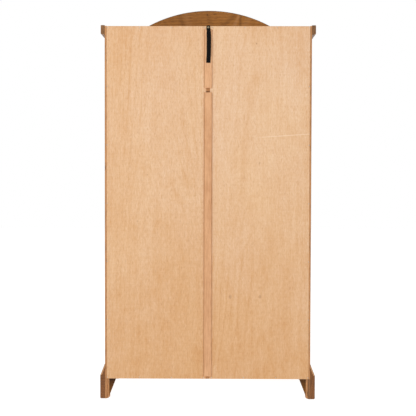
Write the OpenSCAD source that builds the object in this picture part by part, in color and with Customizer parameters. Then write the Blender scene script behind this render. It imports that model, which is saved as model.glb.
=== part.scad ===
// Floor-standing jewelry armoire: a two-door cabinet with an arched pediment, a plywood
// back in two halves, two full-width drawers and a necklace carousel behind the doors.
// Millimetres. +Z is up, the doors face -Y and the plywood back faces +Y.
// The origin is on the floor, at the middle of the overall width and depth.

/* [Case] */
// Width across the two side panels
body_w = 600; // [580:1:630]
// Depth of the side panels
body_d = 340; // [330:1:370]
// Height of the side panels above the floor
case_h = 1086; // [1070:1:1110]
// Thickness of the solid wood boards
board_t = 12; // [11.5:0.5:13]
// Thickness of the plywood back panels
ply_t = 5; // [4:0.5:6]

/* [Back] */
// Width of the seam between the two plywood panels
seam_w = 11; // [9:1:14]
// Width of the cover battens over the seam
batten_w = 23; // [20:1:28]
// Thickness of the cover battens
batten_t = 5; // [4:0.5:6]
// Width of the anti-tip strap
strap_w = 12; // [10:1:14]
// Height of the lower edge of the plywood
ply_bottom = 59; // [52:1:64]

/* [Mouldings] */
// How far the cornice stands out from the case
cornice_out = 11.5; // [9:0.5:14]
// Height of the cornice
cornice_h = 28; // [26:1:30]
// How far the skirt stands out from the case
skirt_out = 14; // [12:0.5:16]
// Height of the square part of the skirt
skirt_h = 68; // [65:1:72]
// Height of the bevelled top of the skirt
skirt_bevel_h = 36; // [32:1:36]
// Height of the arch above the case top
arch_rise = 95; // [85:1:100]
// Outer radius of the arched cornice
arch_r = 414; // [400:1:430]

/* [Doors and drawers] */
// Thickness of the door frames
door_t = 16; // [15:0.5:18]
// Width of the door stiles
stile_w = 46; // [40:1:52]
// Height of the opening for the lower drawer
low_drawer_h = 120; // [110:1:122]
// Height of the opening for the upper drawer
top_drawer_h = 90; // [80:1:92]
// How far the knobs stand out
knob_l = 22; // [20:1:24]

/* [Carousel] */
// Radius of the necklace carousel's disc
disc_r = 84; // [70:1:90]
// Hooks on the carousel
disc_hooks = 12; // [8:1:16]

/* [Hidden] */
$fn = 64;

// Colours
PLY = [0.86, 0.70, 0.55];
RAW = [0.80, 0.62, 0.46];
STAIN = [0.55, 0.36, 0.20];
BRASS = [0.78, 0.62, 0.30];
STEEL = [0.72, 0.72, 0.70];
VELVET = [0.80, 0.72, 0.60];

// Case
half_w = body_w / 2;
half_in = half_w - board_t;
eps = 1;
strap_t = 1.4;
strap_lift = 0.5;
front_out = knob_l;
back_out = batten_t + strap_lift + strap_t;
y_f = front_out - (body_d + front_out + back_out) / 2;
y_b = y_f + body_d;
y_ply = y_b - ply_t;
lip_w = 5;
floor_z = skirt_h + skirt_bevel_h;
top_z = case_h - board_t;

// Feet: the cut-outs in the side panels and skirts
foot_w = 45;
foot_slope = 0.31;
rear_foot_w = 32;
bracket_z = 7;
bracket_slope = 0.39;
toe_h = 40;
side_toe_h = 52;
front_foot_w = 62;
apron_sag = 20;
ease = 2.5;

// Levels of the decks, the shelf and the doors
low_deck_z = floor_z + low_drawer_h;
top_drawer_z = low_deck_z + board_t;
up_deck_z = top_drawer_z + top_drawer_h;
bay_z = up_deck_z + board_t;
shelf_z = 894;
shelf_front = y_f + door_t + 46;
fascia_h = 20;
door_top = top_z - fascia_h;
door_gap = 1.6;
meet_gap = 2;
door_z0 = bay_z + door_gap;
door_z1 = door_top - door_gap;
door_h = door_z1 - door_z0;
door_w = half_in - door_gap - meet_gap / 2;
rail_top_h = 52;
rail_bottom_h = 62;
panel_t = 7.6;
groove_t = 8;
groove_d = 7;
field_inset = 26;
field_t = 3.4;

// Back
ply_top = case_h - 1;
batten_top = 1075;
batten_bevel = 2;
batten_gap_top = shelf_z + board_t + 1;
stile_flange_w = 34;
stile_flange_t = 9;
tenon_low = shelf_z + 3.5;
nail_r = 1.2;
nail_head = 0.4;
nails_across = 4;
nails_up = 5;
nail_edge = 4;
strap_l = 108;
screw_drop = 4.6;
screw_r = 3;

// Pediment
cornice_top = case_h + 2;
cornice_z = cornice_top - cornice_h;
cornice_slope = 3;
arch_z = case_h + arch_rise - arch_r;
arch_in_r = arch_r - cornice_h;
board_drop = 3;
mitre_out = [sqrt(pow(arch_r, 2) - pow(cornice_top - arch_z, 2)), cornice_top];
mitre_in = [sqrt(pow(arch_in_r, 2) - pow(cornice_z - arch_z, 2)), cornice_z];
arch_half = atan2(mitre_in[0], mitre_in[1] - arch_z) + 1;

// Hinges
hinges = 3;
hinge_h = 42;
hinge_end = 62;
leaf_t = 1;
leaf_w = 12;
leaf_in = 0.5;
knuckles = 5;
knuckle_r = 2.6;
pin_r = 1.2;
pin_clear = 0.05;
barrel_y = y_f - knuckle_r - 0.2;
barrel_x = half_in - door_gap / 2;

// Knobs
knob_z = 690;
drawer_knob_x = 150;

// Drawers
drawer_gap = 1.5;
drawer_front_t = 14;
front_bevel_w = 9;
front_bevel_t = 2.5;
drawer_wall = 8;
drawer_side_gap = 1;
drawer_depth = 300;
drawer_head = 16;
drawer_floor_t = 4;
drawer_floor_z = 6;
drawer_groove = 3;
joint_slip = 0.2;
lining_t = 3;
divider_t = 3;
divider_h = 34;
divider_cols = 6;

// Carousel
bush_r = 12;
bush_flange_r = 20;
bush_flange_t = 2.5;
spindle_r = 4;
spindle_clear = 0.06;
head_r = 7;
head_t = 3;
head_drop = 4;
carousel_x = -(half_in + board_t / 2) / 2;
carousel_y = (shelf_front + y_ply - stile_flange_t) / 2;
disc_t = 9;
disc_z = shelf_z - 46;
spindle_low = disc_z - 22;
hook_r = 1.3;
hook_out = 9;
hook_up = 7;

// Ring tray and hook rail
tray_w = 380;
tray_d = 170;
tray_h = 26;
tray_wall = 6;
tray_base_t = 4;
tray_y = (shelf_front + y_ply) / 2 - 4;
rolls = 7;
roll_gap = 0.8;
hook_rail_w = 210;
hook_rail_h = 26;
hook_rail_t = 10;
hook_rail_z = 940;
rail_hooks = 7;

// The piece, and its mirror image on the other side of the centre plane
module both() {
    children();
    mirror([1, 0, 0]) children();
}

// A block given by its lowest and highest corners
module block(low, high) {
    translate(low) cube(high - low);
}

// A flat shape drawn in X and Z, from y0 towards +Y
module slab_xz(y0, t) {
    translate([0, y0 + t, 0]) rotate([90, 0, 0]) linear_extrude(t) children();
}

// A flat shape drawn in Y and Z, from x0 towards +X
module slab_yz(x0, t) {
    translate([x0, 0, 0]) rotate([90, 0, 90]) linear_extrude(t) children();
}

// The recess that lets a hinge leaf into the face at x, reaching sink beyond it
module leaf_recess(x, sink) {
    for (z = hinge_levels())
        translate([x - sink, y_f - eps, z]) cube([2 * sink, leaf_w + eps, hinge_h]);
}

function hinge_levels() = [
    for (i = [0 : hinges - 1])
        door_z0 + hinge_end + i * (door_h - 2 * hinge_end - hinge_h) / (hinges - 1)
];

// The trapezoid between the front and back feet of a side, in Y and Z
module side_toe_gap(top) {
    polygon([
        [y_f + foot_w, -eps], [y_b - rear_foot_w, -eps],
        [y_b - rear_foot_w - foot_slope * top, top], [y_f + foot_w + foot_slope * top, top]
    ]);
}

// The right-hand side panel: rabbeted for the plywood and recessed for the hinges
module side_panel() {
    color(STAIN) difference() {
        block([half_in, y_f, 0], [half_w, y_b, case_h]);
        block([half_in - eps, y_ply, -eps], [half_w - lip_w, y_b + eps, case_h + eps]);
        leaf_recess(half_in, leaf_in);
        slab_yz(half_in - eps, board_t + 2 * eps) side_toe_gap(side_toe_h);
        translate([half_in, y_b, 0]) rotate([0, 45, 0]) cube([2 * ease, 4 * board_t, 2 * ease], center = true);
    }
}

module board(z, front, back, t = board_t) {
    color(RAW) block([-half_in, front, z], [half_in, back, z + t]);
}

// The shelf, with the carousel's bush hole and the tenon that shows in the back seam
module fixed_shelf() {
    color(RAW) difference() {
        union() {
            block([-half_in, shelf_front, shelf_z], [half_in, y_ply, shelf_z + board_t]);
            block([-seam_w / 2, y_ply - eps, tenon_low], [seam_w / 2, y_b, shelf_z + board_t]);
        }
        translate([carousel_x, carousel_y, shelf_z - eps]) cylinder(r = bush_r, h = board_t + 2 * eps);
    }
}

module bay_divider() {
    color(RAW) block(
        [-board_t / 2, shelf_front, bay_z], [board_t / 2, y_ply - stile_flange_t, shelf_z]
    );
}

module back_panel() {
    color(PLY) block([seam_w / 2, y_ply, ply_bottom], [half_w - lip_w - 0.3, y_b, ply_top]);
}

// A T-shaped stile: its spine fills the seam and its flange backs both plywood panels
module back_stile(low, high, flange_low, flange_high) {
    color(RAW) union() {
        block([-seam_w / 2, y_ply, low], [seam_w / 2, y_b, high]);
        block([-stile_flange_w / 2, y_ply - stile_flange_t, flange_low], [stile_flange_w / 2, y_ply, flange_high]);
    }
}

// A cover batten with bevelled long edges
module back_batten(low, high) {
    half = batten_w / 2;
    color(RAW) translate([0, y_b, low]) linear_extrude(high - low) polygon([
        [-half, 0], [half, 0], [half, batten_t - batten_bevel], [half - batten_bevel, batten_t],
        [-half + batten_bevel, batten_t], [-half, batten_t - batten_bevel]
    ]);
}

// Brad heads along the top, bottom and outer edges of one plywood panel
module panel_nails() {
    inner = seam_w / 2 + 6;
    outer = half_w - lip_w - 1.6;
    low = ply_bottom + nail_edge;
    high = ply_top - nail_edge;
    across = [for (i = [0 : nails_across - 1]) inner + i * (outer - inner) / (nails_across - 1)];
    up = [for (i = [1 : nails_up]) low + i * (high - low) / (nails_up + 1)];
    places = concat([for (x = across, z = [low, high]) [x, z]], [for (z = up) [outer, z]]);
    color(STEEL) for (p = places)
        translate([p[0], y_b, p[1]]) rotate([-90, 0, 0]) cylinder(r = nail_r, h = nail_head, $fn = 24);
}

// The strap's side view: flat on the stile, then stepping out over the batten
module tip_strap() {
    high = case_h + 1;
    low = high - strap_l;
    step_low = batten_top + 0.4;
    step_high = batten_top + 2.2;
    out = batten_t + strap_lift;
    color([0.08, 0.08, 0.08]) slab_yz(-strap_w / 2, strap_w) polygon([
        [y_b, high], [y_b, step_high], [y_b + out, step_low], [y_b + out, low],
        [y_b + out + strap_t, low], [y_b + out + strap_t, step_low + 1],
        [y_b + strap_t, step_high + 1], [y_b + strap_t, high]
    ]);
}

// A domed screw head with a flat washer over the strap
module strap_screw() {
    color(BRASS) translate([0, y_b + strap_t, case_h - screw_drop]) rotate([-90, 0, 0]) difference() {
        union() {
            cylinder(r = screw_r, h = 0.5);
            cylinder(r1 = screw_r - 0.4, r2 = 1.8, h = 1.9);
        }
        for (a = [0, 90]) rotate([0, 0, a]) translate([-1.6, -0.3, 1.2]) cube([3.2, 0.6, 1]);
    }
}

// The board behind the arched cornice, a fascia over the doors in its lower part
module pediment_board() {
    color(STAIN) slab_xz(y_f, board_t) union() {
        translate([-half_in, door_top]) square([2 * half_in, case_h - door_top]);
        intersection() {
            translate([0, arch_z]) circle(r = arch_r - board_drop, $fn = 128);
            translate([-half_w, case_h - eps]) square([body_w, arch_rise + eps]);
        }
    }
}

// The cornice's section: [out from the wall, up]
function cornice_profile() = [
    [0, 0], [cornice_out, cornice_slope], [cornice_out, cornice_h - 1],
    [cornice_out - 1, cornice_h], [0, cornice_h]
];

// In X and Z, everything on the outer side of the mitre between the arch and its returns
module past_mitre() {
    run = (mitre_out - mitre_in) * 4;
    a = mitre_in - run;
    b = mitre_out + run;
    polygon([a, b, [b[0] + body_w, b[1]], [a[0] + body_w, a[1]]]);
}

module cornice_arch() {
    color(STAIN) difference() {
        translate([0, y_f, arch_z]) rotate([90, 0, 0]) rotate([0, 0, 90 - arch_half])
            rotate_extrude(angle = 2 * arch_half, $fn = 128)
                polygon([for (p = cornice_profile()) [arch_in_r + p[1], p[0]]]);
        both() slab_xz(y_f - cornice_out - eps, cornice_out + 2 * eps) past_mitre();
    }
}

// A straight moulding along X on the front, cut at 45 degrees at the case corner
module front_moulding(profile, out, z) {
    intersection() {
        translate([0, y_f, z]) rotate([90, 0, 90]) linear_extrude(half_w + out)
            polygon([for (p = profile) [-p[0], p[1]]]);
        translate([0, 0, -eps]) linear_extrude(case_h * 2)
            polygon([[0, y_f], [0, y_f - out], [half_w + out, y_f - out], [half_w, y_f]]);
    }
}

// A straight moulding along Y on the right side, mitred at the front
module side_moulding(profile, out, z) {
    intersection() {
        translate([half_w, y_b, z]) rotate([90, 0, 0]) linear_extrude(body_d + out) polygon(profile);
        translate([0, 0, -eps]) linear_extrude(case_h * 2)
            polygon([[half_w, y_f], [half_w + out, y_f - out], [half_w + out, y_b], [half_w, y_b]]);
    }
}

module cornice_front_return() {
    color(STAIN) intersection() {
        front_moulding(cornice_profile(), cornice_out, cornice_z);
        slab_xz(y_f - cornice_out - eps, cornice_out + 2 * eps) past_mitre();
    }
}

module cornice_side() {
    color(STAIN) side_moulding(cornice_profile(), cornice_out, cornice_z);
}

// The skirt's section: a square board with a steep bevel above it
function skirt_profile() = [
    [0, 0], [skirt_out - ease, 0], [skirt_out, ease], [skirt_out, skirt_h], [0, floor_z]
];

// The front skirt, with bracket feet and an arched apron between them
module skirt_front() {
    inner = half_w + skirt_out - front_foot_w;
    rise = toe_h * foot_slope;
    chord = inner - rise;
    apron_r = (pow(chord, 2) + pow(apron_sag, 2)) / (2 * apron_sag);
    color(STAIN) difference() {
        both() front_moulding(skirt_profile(), skirt_out, 0);
        slab_xz(y_f - skirt_out - eps, skirt_out + 2 * eps) union() {
            polygon([[-inner, -eps], [inner, -eps], [chord, toe_h], [-chord, toe_h]]);
            intersection() {
                translate([0, toe_h + apron_sag - apron_r]) circle(r = apron_r, $fn = 128);
                translate([-chord, toe_h - eps]) square([2 * chord, apron_sag + 2 * eps]);
            }
        }
    }
}

module skirt_side() {
    color(STAIN) difference() {
        side_moulding(skirt_profile(), skirt_out, 0);
        slab_yz(half_w - eps, skirt_out + 2 * eps) side_toe_gap(side_toe_h);
    }
}

// The board behind the plywood's lower edge, with a diagonal bracket at each back foot
module rear_apron() {
    low = ply_bottom + 2;
    high = floor_z - board_t;
    toe = half_in - (low - bracket_z) * bracket_slope;
    color(STAIN) slab_xz(y_ply - board_t, board_t) polygon([
        [-half_in, bracket_z], [-toe, low], [toe, low], [half_in, bracket_z], [half_in, high], [-half_in, high]
    ]);
}

// Triangular glue blocks in the corners under the bottom board
module corner_block() {
    side = 26;
    low = ply_bottom + 4;
    high = floor_z - board_t;
    color(RAW) for (y = [[y_f, 1], [y_ply - board_t, -1]])
        translate([half_in, y[0], low]) linear_extrude(high - low)
            polygon([[0, 0], [-side, 0], [0, y[1] * side]]);
}

// Knuckle positions of one leaf: even ones on the case, odd ones on the door
function own_knuckles(first) = [for (i = [first : 2 : knuckles - 1]) i * hinge_h / knuckles];

// One hinge leaf with its knuckles, at the right-hand side of the case
module hinge_leaf(first, plate_x) {
    step = hinge_h / knuckles;
    slack = 0.15;
    color(BRASS) for (z = hinge_levels()) translate([0, 0, z]) difference() {
        union() {
            translate([plate_x, y_f, 0]) cube([leaf_t, leaf_w, hinge_h]);
            for (k = own_knuckles(first)) translate([0, 0, k + slack]) {
                translate([plate_x, barrel_y, 0]) cube([leaf_t, y_f - barrel_y + leaf_t, step - 2 * slack]);
                translate([barrel_x, barrel_y, 0]) cylinder(r = knuckle_r, h = step - 2 * slack);
            }
        }
        translate([barrel_x, barrel_y, -eps]) cylinder(r = pin_r + pin_clear, h = hinge_h + 2 * eps);
    }
}

module hinge_case_leaf() { hinge_leaf(0, half_in - leaf_in); }

module hinge_door_leaf() { hinge_leaf(1, half_in - door_gap - leaf_in); }

// Hinge pins, each with a button at both ends of its barrel
module hinge_pin() {
    color(BRASS) for (z = hinge_levels()) translate([barrel_x, barrel_y, z]) union() {
        cylinder(r = pin_r, h = hinge_h);
        for (end = [-1, hinge_h]) translate([0, 0, end]) cylinder(r = 2, h = 1);
    }
}

// The door stands on the right: its outer edge is the hinge side
module door_stiles() {
    inner = half_in - door_gap - door_w;
    color(STAIN) difference() {
        union() for (x = [inner, inner + door_w - stile_w])
            translate([x, y_f, door_z0]) cube([stile_w, door_t, door_h]);
        leaf_recess(half_in - door_gap, leaf_in);
        block(
            [inner + stile_w - groove_d, y_f + (door_t - groove_t) / 2, door_z0 - eps],
            [inner + door_w - stile_w + groove_d, y_f + (door_t + groove_t) / 2, door_z1 + eps]
        );
    }
}

// Rails with stub tenons that fill the stiles' grooves, and a groove for the panel
module door_rails() {
    left = half_in - door_gap - door_w + stile_w;
    right = half_in - door_gap - stile_w;
    tongue = [y_f + (door_t - groove_t) / 2, y_f + (door_t + groove_t) / 2];
    color(STAIN) for (r = [
        [door_z0, door_z0 + rail_bottom_h, door_z0 + rail_bottom_h],
        [door_z1 - rail_top_h, door_z1, door_z1 - rail_top_h]
    ]) difference() {
        union() {
            block([left, y_f, r[0]], [right, y_f + door_t, r[1]]);
            block([left - groove_d, tongue[0], r[0]], [right + groove_d, tongue[1], r[1]]);
        }
        block([left - 2 * groove_d, tongue[0], r[2] - groove_d], [right + 2 * groove_d, tongue[1], r[2] + groove_d]);
    }
}

// A flat panel with a bevelled raised field on its front, free to move in its grooves
module door_panel() {
    slip = groove_d - 1;
    left = half_in - door_gap - door_w + stile_w;
    right = half_in - door_gap - stile_w;
    low = door_z0 + rail_bottom_h;
    high = door_z1 - rail_top_h;
    mid = y_f + door_t / 2;
    color(STAIN) union() {
        block([left - slip, mid - panel_t / 2, low - slip], [right + slip, mid + panel_t / 2, high + slip]);
        hull() for (step = [[4, 0], [field_inset, field_t]]) block(
            [left + step[0], mid - panel_t / 2 - step[1], low + step[0]],
            [right - step[0], mid, high - step[0]]
        );
    }
}

// A turned knob, its base at the origin and its axis towards -Y
module knob() {
    color(STAIN) rotate([90, 0, 0]) rotate_extrude() polygon([
        [0, 0], [7, 0], [7, 2.5], [4.6, 5], [4.4, 9], [9, 12.5], [10.8, 16],
        [9.6, knob_l - 2], [5.5, knob_l - 0.4], [0, knob_l]
    ]);
}

module door_knob() {
    translate([meet_gap / 2 + stile_w / 2, y_f, knob_z]) knob();
}

// A double magnetic catch under the top board, one magnet for each door
module door_catch() {
    face = y_f + door_t + 1.2;
    color([0.85, 0.83, 0.78]) difference() {
        block([-24, face, door_z1 - 16], [24, face + 14, top_z]);
        for (x = [-14, 14]) block([x - 7, face - eps, door_z1 - 12], [x + 7, face + 2, door_z1 - 3]);
    }
    color(STEEL) for (x = [-14, 14])
        block([x - 7, face, door_z1 - 12], [x + 7, face + 2, door_z1 - 3]);
}

module door_strike() {
    back = y_f + door_t;
    color(STEEL) block([6, back, door_z1 - 14], [22, back + 1, door_z1 - 1]);
}

// A mirror in the recess behind the left door's panel, drawn on the right
module door_mirror() {
    back = y_f + door_t / 2 + panel_t / 2;
    left = half_in - door_gap - door_w + stile_w + 1;
    right = half_in - door_gap - stile_w - 1;
    color([0.8, 0.85, 0.88])
        block([left, back, door_z0 + rail_bottom_h + 1], [right, back + 3, door_z1 - rail_top_h - 1]);
}

// The wooden rail inside the right door that carries the necklace hooks
module hook_rail() {
    mid = half_in - door_gap - door_w / 2;
    back = y_f + door_t;
    color(STAIN) block(
        [mid - hook_rail_w / 2, back, hook_rail_z - hook_rail_h / 2],
        [mid + hook_rail_w / 2, back + hook_rail_t, hook_rail_z + hook_rail_h / 2]
    );
}

// A hook along +X from the origin, turned up at its end
module hook() {
    translate([-1, 0, 0]) rotate([0, 90, 0]) cylinder(r = hook_r, h = hook_out + 1, $fn = 24);
    translate([hook_out, 0, 0]) sphere(r = hook_r, $fn = 24);
    translate([hook_out, 0, 0]) cylinder(r = hook_r, h = hook_up, $fn = 24);
}

module hook_rail_hooks() {
    mid = half_in - door_gap - door_w / 2;
    pitch = (hook_rail_w - 30) / (rail_hooks - 1);
    face = y_f + door_t + hook_rail_t;
    color(BRASS) for (i = [0 : rail_hooks - 1])
        translate([mid + (i - (rail_hooks - 1) / 2) * pitch, face + 1, hook_rail_z]) rotate([0, 0, 90]) hook();
}

// The flanged bush in the shelf; its counterbore carries the spindle's head
module carousel_bush() {
    color(BRASS) translate([carousel_x, carousel_y, shelf_z]) difference() {
        union() {
            cylinder(r = bush_r, h = board_t);
            translate([0, 0, -bush_flange_t]) cylinder(r = bush_flange_r, h = bush_flange_t);
        }
        translate([0, 0, -bush_flange_t - eps])
            cylinder(r = spindle_r + spindle_clear, h = board_t + bush_flange_t + 2 * eps);
        translate([0, 0, board_t - head_drop]) cylinder(r = head_r + 0.5, h = head_drop + eps);
    }
}

// The turned spindle that the carousel hangs from
module carousel_spindle() {
    head_z = shelf_z + board_t - head_drop;
    color(BRASS) translate([carousel_x, carousel_y, 0]) union() {
        translate([0, 0, head_z]) cylinder(r = head_r, h = head_t);
        translate([0, 0, spindle_low]) cylinder(r = spindle_r, h = head_z - spindle_low + eps);
        translate([0, 0, disc_z - 5]) cylinder(r = 11, h = 5);
        translate([0, 0, spindle_low]) sphere(r = 7);
    }
}

module carousel_disc() {
    color(STAIN) translate([carousel_x, carousel_y, disc_z]) difference() {
        rotate_extrude($fn = 96) polygon([
            [0, 0], [disc_r - 2, 0], [disc_r, 2], [disc_r, disc_t - 3], [disc_r - 3, disc_t], [0, disc_t]
        ]);
        translate([0, 0, -eps]) cylinder(r = spindle_r + spindle_clear, h = disc_t + 2 * eps);
    }
}

module carousel_hooks() {
    color(BRASS) for (i = [0 : disc_hooks - 1])
        translate([carousel_x, carousel_y, disc_z + disc_t / 2 - 0.5]) rotate([0, 0, i * 360 / disc_hooks])
            translate([disc_r + 1, 0, 0]) hook();
}

// The ring tray on the shelf: a base inside four butted walls
module ring_tray() {
    half_l = tray_w / 2;
    half_d = tray_d / 2;
    in_l = half_l - tray_wall;
    in_d = half_d - tray_wall - joint_slip;
    color(STAIN) translate([0, tray_y, shelf_z + board_t]) {
        block([-in_l + joint_slip, -in_d, 0], [in_l - joint_slip, in_d, tray_base_t]);
        for (side = [-1, 1]) translate([0, side * (half_d - tray_wall / 2), tray_h / 2])
            cube([tray_w, tray_wall, tray_h], center = true);
        both() block([in_l, -in_d, 0], [half_l, in_d, tray_h]);
    }
}

// Padded ring rolls, lying side by side across the tray
module ring_rolls() {
    room = tray_d - 2 * tray_wall;
    pitch = room / rolls;
    r = pitch / 2 - roll_gap / 2;
    long = tray_w - 2 * tray_wall - 4;
    color(VELVET) for (i = [0 : rolls - 1])
        translate([-long / 2, tray_y - room / 2 + (i + 0.5) * pitch, shelf_z + board_t + tray_base_t + r])
            rotate([0, 90, 0]) cylinder(r = r, h = long, $fn = 48);
}

// A drawer front whose face is bevelled all round
module drawer_front(z, h) {
    wide = half_in - drawer_gap;
    color(STAIN) hull() for (step = [[0, front_bevel_t], [front_bevel_w, 0]]) block(
        [-wide + step[0], y_f + step[1], z + drawer_gap + step[0]],
        [wide - step[0], y_f + drawer_front_t, z + h - drawer_gap - step[0]]
    );
}

// Two grooved sides, the bottom that slides into them, and a back that stands on it
module drawer_box(z, h) {
    out = half_in - drawer_side_gap;
    inner = out - drawer_wall;
    y0 = y_f + drawer_front_t;
    y1 = y0 + drawer_depth;
    low = z + drawer_floor_z;
    high = z + h - drawer_head;
    color(RAW) {
        both() difference() {
            block([inner, y0, z], [out, y1, high]);
            block(
                [inner - eps, y0 - eps, low - joint_slip],
                [inner + drawer_groove, y1 + eps, low + drawer_floor_t + joint_slip]
            );
        }
        block(
            [-inner - drawer_groove + joint_slip, y0, low],
            [inner + drawer_groove - joint_slip, y1, low + drawer_floor_t]
        );
        block(
            [-inner + joint_slip, y1 - drawer_wall, low + drawer_floor_t + joint_slip],
            [inner - joint_slip, y1, high]
        );
    }
}

module drawer_knobs(z, h) {
    for (x = [-drawer_knob_x, drawer_knob_x]) translate([x, y_f, z + h / 2]) knob();
}

function drawer_room() = [
    [-half_in + drawer_side_gap + drawer_wall + 0.5, y_f + drawer_front_t + 0.5],
    [half_in - drawer_side_gap - drawer_wall - 0.5, y_f + drawer_front_t + drawer_depth - drawer_wall - 0.5]
];

module drawer_lining(z) {
    room = drawer_room();
    low = z + drawer_floor_z + drawer_floor_t;
    color(VELVET) block([room[0][0], room[0][1], low], [room[1][0], room[1][1], low + lining_t]);
}

// Low walls that part the upper drawer: one along it and short ones on both sides of that
module drawer_dividers(z) {
    room = drawer_room();
    low = z + drawer_floor_z + drawer_floor_t + lining_t;
    mid = (room[0][1] + room[1][1]) / 2;
    half_t = divider_t / 2;
    cell_w = (room[1][0] - room[0][0]) / divider_cols;
    color(RAW) {
        block([room[0][0], mid - half_t, low], [room[1][0], mid + half_t, low + divider_h]);
        for (c = [1 : divider_cols - 1]) {
            x = room[0][0] + c * cell_w;
            for (y = [[room[0][1], mid - half_t - joint_slip], [mid + half_t + joint_slip, room[1][1]]])
                block([x - half_t, y[0], low], [x + half_t, y[1], low + divider_h]);
        }
    }
}

module on_left() { mirror([1, 0, 0]) children(); }

on_left() side_panel();  // side_panel_left
side_panel();  // side_panel_right
board(top_z, y_f + board_t, y_ply);  // top_board
board(floor_z - board_t, y_f, y_ply);  // bottom_board
board(low_deck_z, y_f, y_ply);  // lower_deck
board(up_deck_z, y_f, y_ply);  // upper_deck
fixed_shelf();
bay_divider();
on_left() back_panel();  // back_panel_left
back_panel();  // back_panel_right
back_stile(shelf_z + board_t, ply_top, shelf_z + board_t, top_z);  // back_stile_upper
back_stile(ply_bottom, shelf_z, bay_z, shelf_z);  // back_stile_lower
back_batten(batten_gap_top, batten_top);  // back_batten_upper
back_batten(ply_bottom + 8, shelf_z);  // back_batten_lower
both() panel_nails();  // back_panel_nails
tip_strap();
strap_screw();
pediment_board();
cornice_arch();
both() cornice_front_return();  // cornice_front_returns
on_left() cornice_side();  // cornice_left
cornice_side();  // cornice_right
skirt_front();
on_left() skirt_side();  // skirt_left
skirt_side();  // skirt_right
rear_apron();
both() corner_block();  // corner_blocks
both() hinge_case_leaf();  // hinge_case_leaves
both() hinge_pin();  // hinge_pins
door_catch();
ring_tray();
ring_rolls();
carousel_bush();
on_left() door_stiles();  // left_door_stiles
on_left() door_rails();  // left_door_rails
on_left() door_panel();  // left_door_panel
on_left() door_knob();  // left_door_knob
on_left() hinge_door_leaf();  // left_door_hinge_leaves
on_left() door_mirror();  // left_door_mirror
on_left() door_strike();  // left_door_strike
door_stiles();  // right_door_stiles
door_rails();  // right_door_rails
door_panel();  // right_door_panel
door_knob();  // right_door_knob
hinge_door_leaf();  // right_door_hinge_leaves
hook_rail();  // right_door_hook_rail
hook_rail_hooks();  // right_door_hooks
door_strike();  // right_door_strike
carousel_spindle();
carousel_disc();
carousel_hooks();
drawer_front(top_drawer_z, top_drawer_h);  // upper_drawer_front
drawer_box(top_drawer_z, top_drawer_h);  // upper_drawer_box
drawer_knobs(top_drawer_z, top_drawer_h);  // upper_drawer_knobs
drawer_lining(top_drawer_z);  // upper_drawer_lining
drawer_dividers(top_drawer_z);  // upper_drawer_dividers
drawer_front(floor_z, low_drawer_h);  // lower_drawer_front
drawer_box(floor_z, low_drawer_h);  // lower_drawer_box
drawer_knobs(floor_z, low_drawer_h);  // lower_drawer_knobs
drawer_lining(floor_z);  // lower_drawer_lining
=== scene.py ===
"""A floor-standing jewelry armoire: materials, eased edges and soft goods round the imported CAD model."""

import math
import random

import bmesh
import bpy
from mathutils import Matrix, Vector


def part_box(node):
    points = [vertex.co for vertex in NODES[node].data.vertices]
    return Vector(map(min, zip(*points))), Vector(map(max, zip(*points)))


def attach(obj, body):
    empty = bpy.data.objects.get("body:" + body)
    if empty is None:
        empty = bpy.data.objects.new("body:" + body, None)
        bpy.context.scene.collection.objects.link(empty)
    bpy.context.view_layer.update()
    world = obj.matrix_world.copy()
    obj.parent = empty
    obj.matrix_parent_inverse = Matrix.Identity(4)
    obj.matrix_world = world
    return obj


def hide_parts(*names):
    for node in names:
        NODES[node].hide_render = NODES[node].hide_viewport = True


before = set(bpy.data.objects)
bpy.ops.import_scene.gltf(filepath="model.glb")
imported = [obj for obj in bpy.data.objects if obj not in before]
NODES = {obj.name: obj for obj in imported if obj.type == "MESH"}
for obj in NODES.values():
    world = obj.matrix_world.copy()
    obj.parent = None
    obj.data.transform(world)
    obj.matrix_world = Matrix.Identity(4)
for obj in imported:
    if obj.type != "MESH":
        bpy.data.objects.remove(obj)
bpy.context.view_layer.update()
MM = 0.001

BACK_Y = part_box("side_panel_left")[1].y
PLY_LOW, PLY_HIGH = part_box("back_panel_left")
scene = bpy.context.scene
scene.view_settings.view_transform = "Standard"


# ---------------------------------------------------------------- camera, light and floor

def link(obj):
    scene.collection.objects.link(obj)
    return obj


def add_camera():
    """The photograph's view: from behind, 3 m away and 0.66 m up, fitted to the photograph's outline."""
    data = bpy.data.cameras.new("camera")
    data.lens, data.sensor_width = 90.95, 36
    data.clip_start, data.clip_end = 0.05, 60
    cam = link(bpy.data.objects.new("camera", data))
    cam.location = (-0.0301, BACK_Y + 3.055, 0.6627)
    yaw, pitch, roll = (math.radians(angle) for angle in (0.557, -1.945, 0.132))
    level = math.cos(pitch)
    ahead = Vector((math.sin(yaw) * level, -math.cos(yaw) * level, math.sin(pitch)))
    straight = ahead.to_track_quat("-Z", "Y").to_matrix()
    cam.rotation_euler = (straight @ Matrix.Rotation(roll, 3, "Z")).to_euler()
    scene.camera = cam


def add_area(name, place, target, size, power, colour):
    """A soft box: lengths in metres, power in watts."""
    data = bpy.data.lights.new(name, "AREA")
    data.shape = "RECTANGLE"
    data.size, data.size_y = size
    data.energy = power
    data.color = colour
    light = link(bpy.data.objects.new(name, data))
    light.location = place
    light.rotation_euler = (Vector(target) - light.location).to_track_quat("-Z", "Y").to_euler()


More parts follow.
